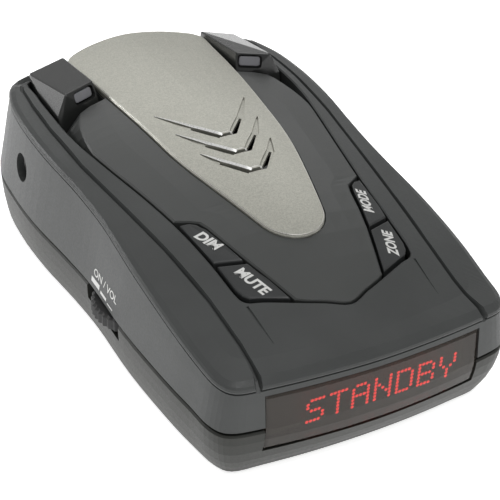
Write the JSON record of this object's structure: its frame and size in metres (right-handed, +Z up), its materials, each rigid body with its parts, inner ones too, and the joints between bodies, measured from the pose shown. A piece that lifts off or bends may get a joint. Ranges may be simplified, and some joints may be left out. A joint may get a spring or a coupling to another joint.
{
  "type": "radar detector",
  "caption": "Windscreen radar detector: wedge-shaped two-shell case with dot-matrix display, corner keys, silver speaker cover and volume thumbwheel.",
  "frame": {"origin": "centre of the underside, below the bounding box middle", "axes": "+Z up, -Y towards the driver (display end), +X to the driver's right"},
  "size_m": [0.071, 0.1142, 0.0374],
  "materials": {
    "case_grey": "satin",
    "deck_grey": "fine texture, satin",
    "panel_black": "gloss",
    "silver_paint": "metallic silver paint",
    "key_black": "satin",
    "smoked_lens": "smoked, clear gloss",
    "alert_lens": "clear lens",
    "board_green": "solder mask",
    "moulded_black": "moulded",
    "tinned_steel": "tinned",
    "cast_zinc": "die cast",
    "brass": "turned",
    "wheel_rubber": "knurled, matt",
    "cone_paper": "doped paper",
    "ribbon_grey": "flat cable",
    "label_film": "blank printed film",
    "led_epoxy": "tinted epoxy"
  },
  "bodies": {
    "case": {"alert_hood_left": "panel_black", "alert_hood_right": "panel_black", "alert_led_left": "led_epoxy", "alert_led_right": "led_epoxy", "alert_window_left": "alert_lens", "alert_window_right": "alert_lens", "case_screw_1": "tinned_steel", "case_screw_2": "tinned_steel", "case_screw_3": "tinned_steel", "case_screw_4": "tinned_steel", "centre_panel": "panel_black", "controller_chip": "moulded_black", "display_board": "board_green", "display_matrix": "moulded_black", "display_window": "smoked_lens", "horn_antenna": "cast_zinc", "key_board": "board_green", "laser_sensor": "moulded_black", "lower_case": "case_grey", "main_board": "board_green", "power_jack_body": "moulded_black", "power_jack_pin": "brass", "rating_label": "label_film", "ribbon_cable": "ribbon_grey", "road_lens": "smoked_lens", "shield_can": "tinned_steel", "speaker_cover": "silver_paint", "speaker_frame": "tinned_steel", "speaker_magnet": "moulded_black", "supply_capacitor": "tinned_steel", "switch_body_left_front": "moulded_black", "switch_body_left_rear": "moulded_black", "switch_body_right_front": "moulded_black", "switch_body_right_rear": "moulded_black", "upper_case": "deck_grey", "volume_control_body": "moulded_black"},
    "key_left_front": {"key_left_front": "key_black", "switch_plunger_left_front": "tinned_steel"},
    "key_left_rear": {"key_left_rear": "key_black", "switch_plunger_left_rear": "tinned_steel"},
    "key_right_front": {"key_right_front": "key_black", "switch_plunger_right_front": "tinned_steel"},
    "key_right_rear": {"key_right_rear": "key_black", "switch_plunger_right_rear": "tinned_steel"},
    "volume_wheel": {"volume_wheel": "wheel_rubber", "volume_shaft": "brass"},
    "speaker_cone": {"speaker_cone": "cone_paper"}
  },
  "joints": [
    {"name": "key_left_front_press", "type": "slide", "parent": "case", "child": "key_left_front", "axis": [0, 0, -1], "range_m": [0, 0.0005], "stiffness_N_per_m": 800, "springref_m": -0.0015},
    {"name": "key_left_rear_press", "type": "slide", "parent": "case", "child": "key_left_rear", "axis": [0, 0, -1], "range_m": [0, 0.0005], "stiffness_N_per_m": 800, "springref_m": -0.0015},
    {"name": "key_right_front_press", "type": "slide", "parent": "case", "child": "key_right_front", "axis": [0, 0, -1], "range_m": [0, 0.0005], "stiffness_N_per_m": 800, "springref_m": -0.0015},
    {"name": "key_right_rear_press", "type": "slide", "parent": "case", "child": "key_right_rear", "axis": [0, 0, -1], "range_m": [0, 0.0005], "stiffness_N_per_m": 800, "springref_m": -0.0015},
    {"name": "volume_wheel_turn", "type": "hinge", "parent": "case", "child": "volume_wheel", "pos_m": [-0.0257, -0.0092, 0.0085], "axis": [0, 0, 1], "range_deg": [-135, 135]},
    {"name": "speaker_cone_travel", "type": "slide", "parent": "case", "child": "speaker_cone", "axis": [0, 0, 1], "range_m": [-0.0004, 0.0004], "stiffness_N_per_m": 500}
  ]
}
